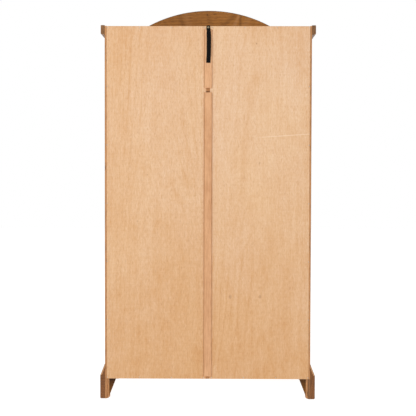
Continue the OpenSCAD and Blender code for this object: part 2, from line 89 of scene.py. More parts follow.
def add_world():
    """A white room: even light from all round, seen as plain white behind the object."""
    world = bpy.data.worlds.new("world")
    scene.world = world
    world.use_nodes = True
    tree = world.node_tree
    tree.nodes.clear()
    shaders = []
    light, seen = ((1.0, 0.985, 0.965, 1), 0.42), ((1, 1, 1, 1), 1.0)
    for colour, strength in (light, seen):
        background = tree.nodes.new("ShaderNodeBackground")
        background.inputs["Color"].default_value = colour
        background.inputs["Strength"].default_value = strength
        shaders.append(background)
    path = tree.nodes.new("ShaderNodeLightPath")
    mix = tree.nodes.new("ShaderNodeMixShader")
    out = tree.nodes.new("ShaderNodeOutputWorld")
    tree.links.new(path.outputs["Is Camera Ray"], mix.inputs[0])
    tree.links.new(shaders[0].outputs[0], mix.inputs[1])
    tree.links.new(shaders[1].outputs[0], mix.inputs[2])
    tree.links.new(mix.outputs[0], out.inputs["Surface"])


def add_floor():
    """A matt floor that glows almost white, so that little more than the object's shadow shows on it."""
    half = 9.0
    mesh = bpy.data.meshes.new("floor")
    corners = [(-half, -half, 0), (half, -half, 0), (half, half, 0), (-half, half, 0)]
    mesh.from_pydata(corners, [], [(0, 1, 2, 3)])
    floor = link(bpy.data.objects.new("floor", mesh))
    mat = bpy.data.materials.new("floor_pale")
    mat.use_nodes = True
    shader = mat.node_tree.nodes["Principled BSDF"]
    shader.inputs["Base Color"].default_value = (0.22, 0.22, 0.22, 1)
    shader.inputs["Roughness"].default_value = 0.95
    shader.inputs["Specular IOR Level"].default_value = 0.0
    shader.inputs["Emission Color"].default_value = (1, 1, 1, 1)
    shader.inputs["Emission Strength"].default_value = 0.96
    mesh.materials.append(mat)


# ---------------------------------------------------------------- node trees

class Tree:
    """A material's node tree, with a short call for each kind of node that it needs."""

    def __init__(self, name):
        self.material = bpy.data.materials.new(name)
        self.material.use_nodes = True
        self.tree = self.material.node_tree
        self.shader = self.tree.nodes["Principled BSDF"]
        coordinates = self.tree.nodes.new("ShaderNodeTexCoord")
        self.place, self.normal = coordinates.outputs["Object"], coordinates.outputs["Normal"]

    def feed(self, socket, value):
        if isinstance(value, bpy.types.NodeSocket):
            self.tree.links.new(value, socket)
        else:
            socket.default_value = value

    def node(self, kind, inputs=(), **settings):
        made = self.tree.nodes.new(kind)
        for key, value in settings.items():
            setattr(made, key, value)
        for key, value in dict(inputs).items():
            self.feed(made.inputs[key], value)
        return made

    def math(self, operation, a, b=0.0, c=0.0, clamp=False):
        made = self.node("ShaderNodeMath", operation=operation, use_clamp=clamp)
        for socket, value in zip(made.inputs, (a, b, c)):
            self.feed(socket, value)
        return made.outputs[0]

    def square(self, value):
        return self.math("MULTIPLY", value, value)

    def sum(self, *terms):
        """Each term is a (factor, weight) pair."""
        total = 0.0
        for factor, weight in terms:
            total = self.math("MULTIPLY_ADD", factor, weight, total)
        return total

    def mapped(self, vector, scale=(1, 1, 1), move=(0, 0, 0), turn=(0, 0, 0)):
        inputs = {"Vector": vector, "Location": move, "Rotation": turn, "Scale": scale}
        return self.node("ShaderNodeMapping", inputs).outputs[0]

    def noise(self, vector, scale, detail=2.0, roughness=0.5, output="Fac"):
        inputs = {"Vector": self.mapped(vector, scale), "Scale": 1.0}
        inputs.update({"Detail": detail, "Roughness": roughness})
        return self.node("ShaderNodeTexNoise", inputs).outputs[output]

    def split(self, vector):
        return self.node("ShaderNodeSeparateXYZ", {0: vector}).outputs

    def ramp(self, factor, *stops):
        """Each stop is (position, grey level or colour)."""
        made = self.node("ShaderNodeValToRGB", {0: factor})
        elements = made.color_ramp.elements
        while len(elements) < len(stops):
            elements.new(0.5)
        for element, (at, colour) in zip(elements, stops):
            element.position = at
            element.color = (*colour, 1) if hasattr(colour, "__len__") else (colour, colour, colour, 1)
        return made.outputs[0]

    def mix(self, factor, a, b):
        a, b = ((*c, 1) if isinstance(c, tuple) else c for c in (a, b))
        return self.node("ShaderNodeMix", {0: factor, 6: a, 7: b}, data_type="RGBA").outputs[2]

    def bump(self, height, strength, distance):
        inputs = {"Height": height, "Strength": strength, "Distance": distance}
        self.feed(self.shader.inputs["Normal"], self.node("ShaderNodeBump", inputs).outputs[0])

    def set(self, **values):
        """Sockets of the shader by name, with _ for a space."""
        for key, value in values.items():
            self.feed(self.shader.inputs[key.replace("_", " ")], value)


def rgb(red, green, blue):
    """Display values from 0 to 255 as the linear values that shaders take."""
    display = (red / 255, green / 255, blue / 255)
    return tuple(c / 12.92 if c <= 0.04045 else ((c + 0.055) / 1.055) ** 2.4 for c in display)


def toned(colour, factor):
    return tuple(c * factor for c in colour)


# ---------------------------------------------------------------- wood

TURN_GRAIN = {"Z": (0, 0, 0), "X": (0, math.pi / 2, 0), "Y": (-math.pi / 2, 0, 0)}
STAIN = {"early": rgb(184, 120, 60), "late": rgb(112, 62, 24), "pore": rgb(62, 32, 10)}
STAIN_GOLD = {"early": rgb(182, 123, 57), "late": rgb(108, 64, 20), "pore": rgb(60, 33, 8)}
STAIN_DARK = {"early": rgb(142, 90, 48), "late": rgb(76, 42, 16), "pore": rgb(48, 26, 10)}
STAIN_GREY = {"early": rgb(140, 99, 62), "late": rgb(76, 49, 29), "pore": rgb(48, 31, 18)}
# The rear apron's dark stain, made darker still as painted shade for its place under the case.
STAIN_WITH_PAINTED_SHADE = {"early": rgb(134, 82, 16), "late": rgb(92, 50, 4), "pore": rgb(40, 18, 1)}
SCUFFED = {"early": rgb(206, 149, 98), "late": rgb(170, 112, 64), "pore": rgb(116, 70, 36)}
WARM_PINE = {"early": rgb(233, 170, 116), "late": rgb(208, 138, 84), "pore": rgb(180, 116, 66)}
PINE = {"early": rgb(232, 190, 142), "late": rgb(206, 156, 104), "pore": rgb(180, 126, 78)}
POPLAR = {"early": rgb(232, 204, 160), "late": rgb(214, 180, 132), "pore": rgb(182, 144, 98)}
# Across a side panel's back edge, in metres: where the stain starts to darken it, and where it is darkest.
SOAKED_FROM_X, SOAKED_FULL_X = 0.2965, 0.2995


def along_grain(t, grain, seed):
    """Object coordinates turned so that the grain runs along Z, in a place of their own in the log."""
    place = random.Random(seed)
    turned = t.mapped(t.place, turn=TURN_GRAIN[grain])
    return t.mapped(turned, move=[place.uniform(-4, 4) for _ in range(3)])


def wood_pattern(t, grain, seed, ring_w=0.007):
    """(tone from 0 early wood to 1 late wood, pores, fibres) of a board cut from a log."""
    place = random.Random(seed + 1000)
    p = along_grain(t, grain, seed)
    wander = t.noise(p, (2.4, 2.4, 0.8), 2, 0.5, "Color")
    bent = t.node("ShaderNodeVectorMath", {0: wander, 1: (0.14, 0.14, 0.0), 2: p}, operation="MULTIPLY_ADD")
    x, y, _ = t.split(bent.outputs[0])
    pith_x, pith_y = (t.math("ADD", c, place.uniform(-0.12, 0.12)) for c in (x, y))
    radius = t.math("SQRT", t.math("ADD", t.square(pith_x), t.square(pith_y)))
    fibre = t.noise(p, (800, 800, 9), 3, 0.6)
    turns = t.math("MULTIPLY_ADD", radius, 1 / ring_w, t.math("MULTIPLY", fibre, 0.4))
    ring = t.ramp(t.math("FRACT", turns), (0.0, 0.15), (0.55, 0.4), (0.86, 1.0), (0.97, 0.3), (1.0, 0.15))
    broad = t.noise(p, (26, 26, 1.5), 3, 0.55)
    cloud = t.noise(p, (7, 7, 2.2), 2, 0.5)
    tone = t.sum((ring, 0.42), (fibre, 0.40), (broad, 0.80), (cloud, 0.64))
    tone = t.math("SUBTRACT", tone, 0.92, clamp=True)
    pores = t.ramp(t.noise(p, (1400, 1400, 50), 1), (0.0, 1.0), (0.34, 1.0), (0.42, 0.0), (1.0, 0.0))
    return tone, pores, fibre


def on_back(t):
    """1 on the faces towards +Y, 0 on the others."""
    return t.math("GREATER_THAN", t.split(t.normal)[1], 0.5)


def spot(t, x, z, radius):
    """1 in a soft round spot on a back or front face, 0 elsewhere; in millimetres."""
    across, _, up = t.split(t.place)
    dx = t.math("MULTIPLY", t.math("SUBTRACT", across, x * MM), 1 / (radius * MM))
    dz = t.math("MULTIPLY", t.math("SUBTRACT", up, z * MM), 0.7 / (radius * MM))
    away = t.math("ADD", t.square(dx), t.square(dz))
    return t.ramp(away, (0.0, 1.0), (0.5, 0.8), (1.0, 0.0))


def streak_mask(t, x, z, lean, width):
    """1 along a soft streak through (x, z), 0 away from it; in millimetres.
    lean is how far it goes sideways for each millimetre that it rises."""
    across, _, up = t.split(t.place)
    wander = t.noise(t.place, (26, 26, 34), 2, 0.6)
    sway = 1.8
    start = -(x - lean * z) / width - sway / 2
    off = t.sum((across, 1 / (width * MM)), (up, -lean / (width * MM)), (wander, sway), (1.0, start))
    return t.ramp(t.square(off), (0.0, 1.0), (0.3, 0.6), (1.0, 0.0))


def finish_wood(t, colour, pores, fibre, roughness, coat):
    """Sets what every wood has in common: its gloss, and fibres and pores that can be felt."""
    t.set(Base_Color=colour, Coat_Weight=coat, Coat_Roughness=0.28, Specular_IOR_Level=0.2)
    t.set(Roughness=t.sum((fibre, 0.2), (pores, 0.15), (1.0, roughness - 0.1)))
    t.bump(t.sum((fibre, 0.5), (pores, -1.0)), 0.4, 0.00025)
    return t.material


def wood(name, grain, seed, tint, tone=1.0, ring_w=0.007, pore=0.6, lipped=False):
    """Raw wood; a lipped board's front edge is stained like the case."""
    t = Tree(name)
    shade, pores, fibre = wood_pattern(t, grain, seed, ring_w)
    colour = t.mix(shade, toned(tint["early"], tone), toned(tint["late"], tone))
    if lipped:
        facing = t.ramp(t.math("MULTIPLY", t.split(t.normal)[1], -1.0), (0.0, 0.0), (0.6, 0.0), (0.8, 1.0))
        colour = t.mix(facing, colour, t.mix(shade, STAIN["early"], STAIN["late"]))
    colour = t.mix(t.math("MULTIPLY", pores, pore), colour, toned(tint["pore"], tone))
    return finish_wood(t, colour, pores, fibre, 0.5, 0.0)


def stained(name, grain, seed, tint=STAIN, raw_back=None, marks=None, pale_grain_and_highlight=None, coat=0.16, ring_w=0.0085):
    """Stained and lacquered hardwood, paler where its edges have rubbed.
    raw_back is the tint of the faces towards +Y, which took less stain, but more at their outer edge.
    marks and the argument after it are functions of the tree that give masks of darker and of paler wood;
    some of the darker ones are painted shade, and one pale one is a painted highlight."""
    t = Tree(name)
    shade, pores, fibre = wood_pattern(t, grain, seed, ring_w)
    colour = t.mix(shade, tint["early"], tint["late"])
    if raw_back:
        facing = t.ramp(t.split(t.normal)[1], (0.0, 0.0), (0.7, 0.0), (0.9, 1.0))
        pale = t.mix(shade, raw_back["early"], raw_back["late"])
        across = t.math("ABSOLUTE", t.split(t.place)[0])
        outer = t.ramp(across, (SOAKED_FROM_X, 0.0), (SOAKED_FULL_X, 1.0))
        pale = t.mix(t.math("MULTIPLY", outer, 0.45), pale, STAIN["late"])
        colour = t.mix(facing, colour, pale)
    if marks:
        colour = t.mix(t.math("MULTIPLY", marks(t), 0.36, clamp=True), colour, tint["pore"])
    colour = t.mix(t.math("MULTIPLY", pores, 0.7), colour, tint["pore"])
    bevel = t.node("ShaderNodeBevel", {"Radius": 0.0016}, samples=4)
    geometry = t.node("ShaderNodeNewGeometry")
    normals = {0: bevel.outputs[0], 1: geometry.outputs["Normal"]}
    turn = t.node("ShaderNodeVectorMath", normals, operation="DOT_PRODUCT")
    edge = t.ramp(turn.outputs["Value"], (0.80, 1.0), (0.97, 0.0))
    patchy = t.ramp(t.noise(t.place, (38, 38, 38), 3, 0.6), (0.35, 0.0), (0.65, 1.0))
    wear_and_highlight = t.math("MULTIPLY", edge, t.math("MULTIPLY_ADD", patchy, 0.5, 0.12))
    # On the skirts, a painted highlight along the bevel joins the worn edges.
    if pale_grain_and_highlight:
        wear_and_highlight = t.math("MAXIMUM", wear_and_highlight, pale_grain_and_highlight(t))
    colour = t.mix(wear_and_highlight, colour, rgb(206, 158, 112))
    return finish_wood(t, colour, pores, fibre, 0.46, coat)


def arches(t, p, centre):
    """Rotary-cut figure: tall nested arches about x = centre, in metres, faint in places."""
    across, _, up = t.split(t.place)
    wander = t.noise(p, (7, 7, 2.2), 3, 0.55)
    ragged = t.noise(p, (90, 90, 9), 2)
    spread = t.square(t.math("SUBTRACT", across, centre))
    turns = t.sum((spread, 330), (up, 5.5), (wander, 3.4), (ragged, 0.22))
    line = t.ramp(t.math("FRACT", turns), (0.0, 0.0), (0.6, 0.1), (0.86, 1.0), (0.93, 0.3), (1.0, 0.0))
    where = t.ramp(t.noise(p, (8, 8, 2.0), 2), (0.40, 0.08), (0.66, 1.0))
    return t.math("MULTIPLY", line, where)


def scratch(t, x, z, reach, lean, width):
    """1 along a thin scratch on the outer face of a back panel; in millimetres."""
    across, _, up = t.split(t.place)
    off = t.sum((up, 1 / (width * MM)), (across, -lean / (width * MM)), (1.0, (lean * x - z) / width))
    along = t.math("MULTIPLY", t.math("SUBTRACT", across, x * MM), 1 / (reach * MM))
    fade = t.ramp(t.square(along), (0.0, 1.0), (0.5, 0.7), (1.0, 0.0))
    line = t.math("MULTIPLY", t.ramp(t.square(off), (0.0, 1.0), (1.0, 0.0)), fade)
    return t.math("MULTIPLY", line, on_back(t))


def ply_edge(t, colour):
    """The plies, pale outside and darker between, on faces that don't look forward or back."""
    on_edge = t.ramp(t.math("ABSOLUTE", t.split(t.normal)[1]), (0.3, 1.0), (0.6, 0.0))
    thick = PLY_HIGH.y - PLY_LOW.y
    depth = t.math("MULTIPLY_ADD", t.split(t.place)[1], 1 / thick, -PLY_LOW.y / thick)
    outer, core = rgb(214, 166, 118), rgb(164, 112, 68)
    plies = t.ramp(depth, (0.0, outer), (0.30, outer), (0.34, core), (0.66, core), (0.70, outer))
    return t.mix(on_edge, colour, plies)


def plywood(name, seed, centre, knots=(), scratches=(), joint=None):
    """Birch plywood: arched figure, fine streaks, mottling and short pores.
    knots are (x, z, radius, strength) and scratches (x, z, reach, lean, width), in millimetres;
    beyond x = joint lies a second strip of veneer, slightly darker in its upper part."""
    t = Tree(name)
    p = along_grain(t, "Z", seed)
    fibre = t.noise(p, (620, 620, 16), 3, 0.62)
    streak = t.noise(p, (110, 110, 5), 4, 0.62)
    cloud = t.noise(p, (20, 20, 12), 5, 0.68)
    pebble = t.noise(p, (360, 360, 90), 2, 0.6)
    large = t.noise(p, (5.0, 5.0, 1.2), 2, 0.5)
    checks = t.noise(p, (30, 30, 420), 2, 0.5)
    tone = t.sum(
        (arches(t, p, centre), 0.20),
        (streak, 0.40),
        (cloud, 0.56),
        (large, 0.30),
        (fibre, 0.40),
        (pebble, 0.72),
        (checks, 0.26),
        (1.0, -1.02),
    )
    height = t.math("DIVIDE", t.split(t.place)[2], PLY_HIGH.z)
    if joint is not None:
        step = 2 * MM
        beyond = t.math("MULTIPLY_ADD", t.split(t.place)[0], 1 / step, -joint * MM / step, clamp=True)
        upper = t.ramp(height, (0.4, 0.0), (0.7, 1.0))
        tone = t.sum((tone, 1.0), (t.math("MULTIPLY", beyond, upper), 0.12))
    # Painted shade: darker towards the bottom of the panel; the tone also darkens a little again at the very
    # top.
    lower = t.ramp(height, (0.05, 0.47), (0.56, 0.15), (0.82, 0.06), (1.0, 0.17))
    tone = t.math("ADD", tone, lower, clamp=True)
    warmth = t.sum((t.noise(p, (6, 6, 3), 4, 0.6), 1.6), (height, -0.5), (1.0, -0.15))
    pale = t.mix(warmth, rgb(235, 204, 174), rgb(237, 203, 163))
    colour = t.mix(tone, pale, rgb(209, 156, 104))
    specks = t.ramp(t.noise(p, (1050, 1050, 110), 1), (0.0, 1.0), (0.33, 1.0), (0.40, 0.0), (1.0, 0.0))
    colour = t.mix(t.math("MULTIPLY", specks, 0.36), colour, rgb(180, 124, 80))
    flecks = t.ramp(t.noise(p, (240, 240, 60), 2), (0.0, 1.0), (0.28, 1.0), (0.34, 0.0), (1.0, 0.0))
    colour = t.mix(t.math("MULTIPLY", flecks, 0.24), colour, rgb(186, 124, 78))
    for x, z, radius, strength in knots:
        colour = t.mix(t.math("MULTIPLY", spot(t, x, z, radius), strength), colour, rgb(150, 96, 58))
    for place in scratches:
        colour = t.mix(t.math("MULTIPLY", scratch(t, *place), 0.42), colour, rgb(250, 226, 198))
    t.set(Base_Color=ply_edge(t, colour), Specular_IOR_Level=0.2)
    t.set(Roughness=t.sum((fibre, 0.18), (specks, 0.1), (1.0, 0.58)))
    t.bump(t.sum((fibre, 0.5), (specks, -0.8)), 0.35, 0.0002)
    return t.material


def batten_wood(name, seed):
    """Planed softwood strip, its sides and bevels darkened as painted shade, more on the +X side."""
    t = Tree(name)
    shade, pores, fibre = wood_pattern(t, "Z", seed, 0.0035)
    patches = t.noise(along_grain(t, "Z", seed), (60, 60, 26), 4, 0.6)
    cloud = t.sum((shade, 1.0), (patches, 1.1), (1.0, -0.46))
    colour = t.mix(cloud, rgb(227, 177, 134), rgb(180, 121, 77))
    colour = t.mix(t.math("MULTIPLY", pores, 0.3), colour, rgb(168, 112, 70))
    # The sides and bevels are darkened as painted shade, more on the +X side.
    side = t.split(t.normal)[0]
    painted_shade_high_x = t.ramp(side, (0.35, 0.0), (0.6, 0.46))
    painted_shade_low_x = t.ramp(t.math("MULTIPLY", side, -1.0), (0.35, 0.0), (0.6, 0.14))
    colour = t.mix(t.math("ADD", painted_shade_high_x, painted_shade_low_x), colour, rgb(140, 92, 52))
    return finish_wood(t, colour, pores, fibre, 0.58, 0.0)


def drawer_wood(name, seed, side_x):
    """Clear-sealed poplar: the grain runs front to back in the sides and along the other pieces."""
    t = Tree(name)
    shade_y, pores_y, fibre_y = wood_pattern(t, "Y", seed, 0.009)
    shade_x, pores_x, fibre_x = wood_pattern(t, "X", seed + 1, 0.009)
    beyond = t.math("GREATER_THAN", t.math("ABSOLUTE", t.split(t.place)[0]), side_x)
    shade = t.mix(beyond, shade_x, shade_y)
    pores = t.mix(beyond, pores_x, pores_y)
    fibre = t.mix(beyond, fibre_x, fibre_y)
    colour = t.mix(shade, POPLAR["early"], POPLAR["late"])
    colour = t.mix(t.math("MULTIPLY", pores, 0.5), colour, POPLAR["pore"])
    return finish_wood(t, colour, pores, fibre, 0.5, 0.1)


# ---------------------------------------------------------------- metal, glass, plastic and cloth

def metal(name, colour, roughness):
    t = Tree(name)
    brushed = t.noise(t.place, (300, 300, 300), 3, 0.6)
    tarnish = t.noise(t.place, (60, 60, 60), 3, 0.6)
    t.set(Base_Color=t.mix(t.math("MULTIPLY", tarnish, 0.5), colour, toned(colour, 0.6)), Metallic=1.0)
    t.set(Roughness=t.sum((brushed, 0.22), (tarnish, 0.1), (1.0, roughness - 0.14)))
    t.bump(brushed, 0.15, 0.0001)
    return t.material


def mirror(name):
    t = Tree(name)
    haze = t.noise(t.place, (6, 6, 6), 3, 0.6)
    t.set(Base_Color=t.mix(haze, (0.90, 0.92, 0.93), (0.84, 0.87, 0.88)), Metallic=1.0)
    t.set(Roughness=t.math("MULTIPLY_ADD", haze, 0.03, 0.01))
    return t.material


def plastic(name, colour):
    t = Tree(name)
    grain = t.noise(t.place, (900, 900, 900), 2, 0.6)
    t.set(Base_Color=t.mix(t.noise(t.place, (50, 50, 50), 2), colour, toned(colour, 0.88)))
    t.set(Roughness=t.math("MULTIPLY_ADD", grain, 0.2, 0.4))
    t.bump(grain, 0.2, 0.0001)
    return t.material


def webbing(name):
    """Black ribbed webbing: fine picks across it and a dusty sheen."""
    t = Tree(name)
    pick = t.math("SINE", t.math("MULTIPLY", t.split(t.place)[2], math.tau / 0.0011))
    thread = t.noise(t.place, (2600, 2600, 500), 2, 0.6)
    dust = t.noise(t.place, (120, 120, 30), 3, 0.6)
    tone = t.sum((pick, 0.18), (thread, 0.5), (dust, 0.3))
    t.set(Base_Color=t.mix(tone, rgb(4, 4, 4), rgb(15, 13, 12)), Sheen_Weight=0.04, Sheen_Roughness=0.5)
    t.set(Roughness=t.math("MULTIPLY_ADD", thread, 0.2, 0.65), Specular_IOR_Level=0.12)
    t.bump(t.sum((pick, 0.5), (thread, 0.6)), 0.5, 0.0002)
    return t.material


def velvet(name, colour):
    t = Tree(name)
    pile = t.noise(t.place, (1900, 1900, 1900), 2, 0.7)
    brushed = t.noise(t.place, (24, 24, 24), 3, 0.55)
    tone = t.sum((pile, 0.5), (brushed, 0.7), (1.0, -0.1))
    t.set(Base_Color=t.mix(tone, toned(colour, 0.74), toned(colour, 1.12)))
    t.set(Roughness=t.math("MULTIPLY_ADD", pile, 0.15, 0.8))
    t.set(Sheen_Weight=0.7, Sheen_Roughness=0.35, Sheen_Tint=(*toned(colour, 1.2), 1))
    t.set(Specular_IOR_Level=0.15)
    t.bump(t.sum((pile, 1.0), (brushed, 0.6)), 0.5, 0.0004)
    return t.material


# ---------------------------------------------------------------- painted highlight and shade, and figures in single boards

# The skirt, in metres: where its outer face stands, where its bevel starts, and the bevel's run for its rise.
SKIRT_X = 0.314
SKIRT_BEVEL_Z = 0.068
SKIRT_SLOPE = 14 / 36
# The middle line of the left side panel's end, and the bottom of the plywood beside it.
FOOT_MID_X = -0.2942
FOOT_TOP_Z = 0.0595


def skirt_bevel_highlight(t):
    """A painted highlight: a pale line along the top of the skirt's bevel, on its end."""
    across, _, up = t.split(t.place)
    outer = t.math("ABSOLUTE", across)
    inset, half_width = 2.6 * MM, 2 * MM
    middle = SKIRT_X + SKIRT_BEVEL_Z * SKIRT_SLOPE - inset
    terms = (outer, -1 / half_width), (up, -SKIRT_SLOPE / half_width), (1.0, middle / half_width)
    near = t.ramp(t.square(t.sum(*terms)), (0.0, 0.85), (0.4, 0.6), (1.0, 0.0))
    return t.math("MULTIPLY", near, t.math("GREATER_THAN", up, SKIRT_BEVEL_Z + 0.001))


def apron_painted_shade(t):
    """Painted shade, darkest towards the top of the brackets under the case, a little more on the +X side."""
    across, _, up = t.split(t.place)
    shaded_top = t.ramp(up, (0.016, 0.0), (0.058, 1.0))
    return t.math("MULTIPLY", shaded_top, t.math("MULTIPLY_ADD", across, 1.2, 2.45))


def foot_end_painted_shade(t):
    """Painted shade over the outer half of the left side panel's end at the foot, darker still in a thin line
    at its middle.
    """
    across, _, up = t.split(t.place)
    seam_width = 1.2 * MM
    outer = t.math("LESS_THAN", across, FOOT_MID_X)
    seam = t.math("MULTIPLY", outer, t.math("GREATER_THAN", across, FOOT_MID_X - seam_width))
    low = t.math("LESS_THAN", up, FOOT_TOP_Z)
    return t.math("MULTIPLY", t.sum((outer, 1.4), (seam, 1.2)), low)


def pediment_marks(t):
    """Leaning figures in the back of the board and one small knot."""
    figures = t.sum(
        (streak_mask(t, 91, 1152, 0.34, 8), 0.6),
        (streak_mask(t, -66, 1152, -1.1, 13), 0.8),
        (streak_mask(t, -100, 1152, 0.0, 6), 1.1),
        (streak_mask(t, -4, 1145, 0.3, 9), 0.35),
        (spot(t, 6.4, 1166, 1.7), 3.0),
    )
    return t.math("MULTIPLY", figures, on_back(t))


def pediment_glow(t):
    """Paler wood beside the figures."""
    pale = t.sum(
        (streak_mask(t, 72, 1152, 0.3, 14), 0.12),
        (streak_mask(t, -89, 1152, -0.44, 8), 0.30),
        (streak_mask(t, -120, 1146, -0.6, 12), 0.14),
    )
    return t.math("MULTIPLY", pale, on_back(t))


# ---------------------------------------------------------------- which finish each node has

BRASS = metal("brass_satin", (0.72, 0.52, 0.24), 0.30)
ZINC = metal("zinc_steel", (0.60, 0.60, 0.58), 0.38)
SCREW = metal("screw_yellow_zinc", (0.60, 0.53, 0.38), 0.28)
VELVET = velvet("velvet_wine", rgb(112, 36, 42))

# In millimetres, as plywood() takes them
KNOTS = {
    "left": [(-140, 1035, 2.0, 0.55), (-66, 300, 5, 0.3), (-153, 301, 4.5, 0.3), (-150, 690, 3, 0.25)],
    "right": [(176, 655, 1.5, 0.4), (205, 520, 2.5, 0.25)],
}
SCRATCHES = [(-232, 770, 96, -0.07, 1.8)]
# Beyond this distance from the middle, in metres, a drawer box is its side and not its front or back
DRAWER_SIDE_X = 0.2785
FINISHES = {
    "back_panel_left": plywood("plywood_left", 3, -0.147, KNOTS["left"], scratches=SCRATCHES),
    "back_panel_right": plywood("plywood_right", 8, 0.128, KNOTS["right"], joint=221),
    "back_batten_upper": batten_wood("batten_upper", 21),
    "back_batten_lower": batten_wood("batten_lower", 22),
    "back_stile_upper": wood("stile_upper", "Z", 23, SCUFFED, 0.8, 0.004),
    "back_stile_lower": wood("stile_lower", "Z", 24, SCUFFED, 0.8, 0.004),
    "top_board": wood("top_board", "X", 31, PINE),
    "bottom_board": wood("bottom_board", "X", 32, PINE, 0.94, lipped=True),
    "lower_deck": wood("lower_deck", "X", 33, PINE, lipped=True),
    "upper_deck": wood("upper_deck", "X", 34, PINE, lipped=True),
    "fixed_shelf": wood("fixed_shelf", "X", 35, WARM_PINE, 0.6, lipped=True),
    "bay_divider": wood("bay_divider", "Z", 36, PINE, lipped=True),
    "corner_blocks": wood("corner_blocks", "X", 37, PINE, 0.8),
    "side_panel_left": stained("side_left", "Z", 41, raw_back=SCUFFED, marks=foot_end_painted_shade),
    "side_panel_right": stained("side_right", "Z", 42, raw_back=SCUFFED),
    "pediment_board": stained("pediment", "X", 43, STAIN_GOLD, marks=pediment_marks, pale_grain_and_highlight=pediment_glow),
    "cornice_arch": stained("cornice_arch", "X", 44, STAIN_GREY),
    "cornice_front_returns": stained("cornice_front", "X", 45, STAIN_GREY),
    "cornice_left": stained("cornice_left", "Y", 46, STAIN_GREY),
    "cornice_right": stained("cornice_right", "Y", 47, STAIN_GREY),
    "skirt_front": stained("skirt_front", "X", 48, STAIN_DARK),
    "skirt_left": stained("skirt_left", "Y", 49, STAIN_DARK, pale_grain_and_highlight=skirt_bevel_highlight),
    "skirt_right": stained("skirt_right", "Y", 50, STAIN_DARK, pale_grain_and_highlight=skirt_bevel_highlight),
    "rear_apron": stained("rear_apron", "X", 51, STAIN_WITH_PAINTED_SHADE, marks=apron_painted_shade, coat=0.0),
    "ring_tray": stained("ring_tray", "X", 52),
    "carousel_disc": stained("carousel_disc", "X", 53),
    "right_door_hook_rail": stained("hook_rail", "X", 54),
    "upper_drawer_front": stained("upper_drawer_front", "X", 55),
    "lower_drawer_front": stained("lower_drawer_front", "X", 56),
    "upper_drawer_box": drawer_wood("upper_drawer_box", 61, DRAWER_SIDE_X),
    "lower_drawer_box": drawer_wood("lower_drawer_box", 63, DRAWER_SIDE_X),
    "upper_drawer_dividers": wood("dividers", "X", 65, POPLAR, pore=0.4),
    "left_door_mirror": mirror("mirror_glass"),
    "door_catch": plastic("catch_brown", rgb(96, 70, 50)),
    "back_panel_nails": ZINC,
    "strap_screw": SCREW,
    "hinge_case_leaves": BRASS,
    "hinge_pins": BRASS,
    "carousel_bush": BRASS,
    "carousel_spindle": BRASS,
    "carousel_hooks": BRASS,
    "right_door_hooks": BRASS,
}
for number, side in enumerate(("left", "right")):
    FINISHES[f"{side}_door_stiles"] = stained(f"{side}_stiles", "Z", 71 + number)
    FINISHES[f"{side}_door_rails"] = stained(f"{side}_rails", "X", 73 + number)
    FINISHES[f"{side}_door_panel"] = stained(f"{side}_panel", "Z", 75 + number, ring_w=0.013)
    FINISHES[f"{side}_door_knob"] = stained(f"{side}_knob", "Y", 77 + number, STAIN_DARK)
    FINISHES[f"{side}_door_hinge_leaves"] = BRASS
    FINISHES[f"{side}_door_strike"] = ZINC
for number, level in enumerate(("upper", "lower")):
    FINISHES[f"{level}_drawer_knobs"] = stained(f"{level}_drawer_knobs", "Y", 81 + number, STAIN_DARK)

for node, material in FINISHES.items():
    NODES[node].data.materials.clear()
    NODES[node].data.materials.append(material)


# ---------------------------------------------------------------- eased edges

# In millimetres
EASED = {
    "side_panel_left": 0.7, "side_panel_right": 0.7, "pediment_board": 0.6, "cornice_arch": 0.6,
    "cornice_front_returns": 0.6, "cornice_left": 0.8, "cornice_right": 0.8, "skirt_front": 0.9,
    "skirt_left": 0.9, "skirt_right": 0.9, "rear_apron": 0.5, "back_batten_upper": 0.5,
    "back_batten_lower": 0.5, "back_stile_upper": 0.3, "back_stile_lower": 0.3, "top_board": 0.5,
    "bottom_board": 0.5, "lower_deck": 0.5, "upper_deck": 0.5, "bay_divider": 0.5, "corner_blocks": 0.5,
    "ring_tray": 0.7, "upper_drawer_front": 0.6, "lower_drawer_front": 0.6, "upper_drawer_box": 0.5,
    "lower_drawer_box": 0.5, "upper_drawer_dividers": 0.5, "left_door_panel": 0.5, "right_door_panel": 0.5,
    "right_door_hook_rail": 1.0, "back_panel_left": 0.25, "back_panel_right": 0.25, "door_catch": 0.6,
}


def ease_edges(node, width):
    """Rounds a board's sharp edges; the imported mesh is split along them, so it is welded first."""
    obj = NODES[node]
    weld = obj.modifiers.new("weld", "WELD")
    weld.merge_threshold = 0.01 * MM
    bevel = obj.modifiers.new("ease", "BEVEL")
    bevel.width = width * MM
    bevel.segments = 2
    bevel.limit_method = "ANGLE"
    bevel.angle_limit = math.radians(25)
    bevel.harden_normals = True
    bevel.use_clamp_overlap = True


for node, width in EASED.items():
    ease_edges(node, width)


# ---------------------------------------------------------------- soft goods

def make_mesh(name, points, faces, material):
    mesh = bpy.data.meshes.new(name)
    mesh.from_pydata(points, [], faces)
    mesh.materials.append(material)
    made = link(bpy.data.objects.new(name, mesh))
    bm = bmesh.new()
    bm.from_mesh(mesh)
    bmesh.ops.recalc_face_normals(bm, faces=bm.faces)
    bm.to_mesh(mesh)
    bm.free()
    for face in mesh.polygons:
        face.use_smooth = True
    return made


def between(stops, at):
    """The value at a place along (place, value) stops, eased from one to the next."""
    if at <= stops[0][0]:
        return stops[0][1]
    for (a, low), (b, high) in zip(stops, stops[1:]):
        if at <= b:
            u = (at - a) / (b - a)
            return low + (high - low) * u * u * (3 - 2 * u)
    return stops[-1][1]


def tube_faces(rings, count):
    """Quads round a row of closed rings, with a face over each end."""
    faces = [
        (r * count + i, r * count + (i + 1) % count, (r + 1) * count + (i + 1) % count, (r + 1) * count + i)
        for r in range(rings - 1)
        for i in range(count)
    ]
    faces.append(tuple(range(count)))
    faces.append(tuple((rings - 1) * count + i for i in range(count)))
    return faces


